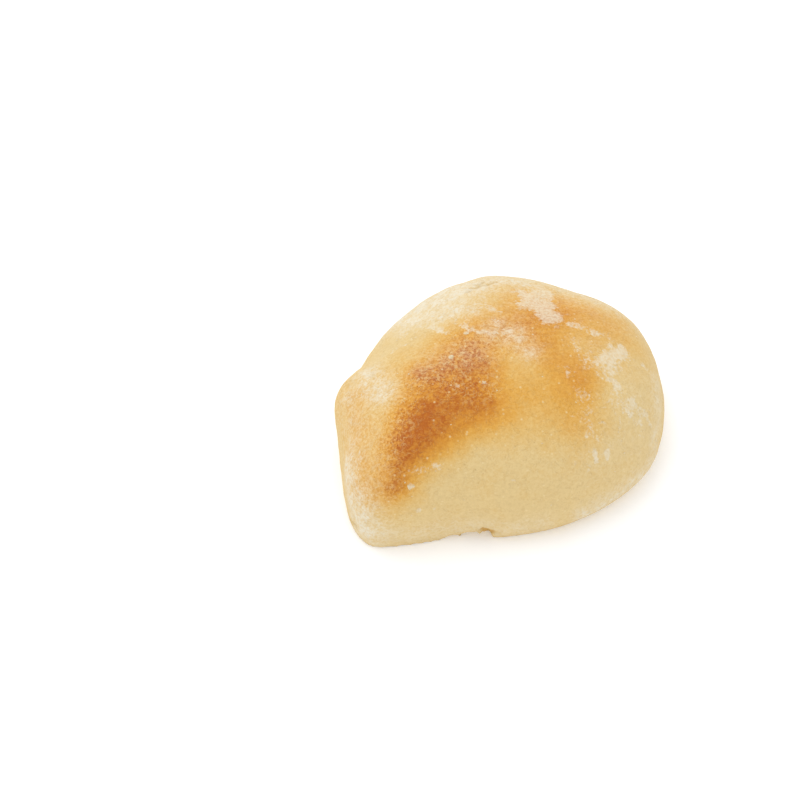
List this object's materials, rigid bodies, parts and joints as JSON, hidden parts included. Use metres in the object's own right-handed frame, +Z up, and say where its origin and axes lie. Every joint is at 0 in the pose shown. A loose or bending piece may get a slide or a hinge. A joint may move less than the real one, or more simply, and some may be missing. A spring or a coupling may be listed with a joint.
{
  "type": "bread roll half",
  "caption": "Domed top half of a soft floured bread roll, sliced level, lying on its cut face.",
  "frame": {"origin": "middle of the half's box, on the plane of the cut face it lies on", "axes": "+X along its longest side, +Y towards the back, +Z up from the cut face to the crown"},
  "size_m": [0.1076, 0.103, 0.042],
  "materials": {
    "crust": "dry, soft baked crust, matt, dusted with flour"
  },
  "bodies": {
    "root": {"roll_half": "crust"}
  },
  "joints": []
}
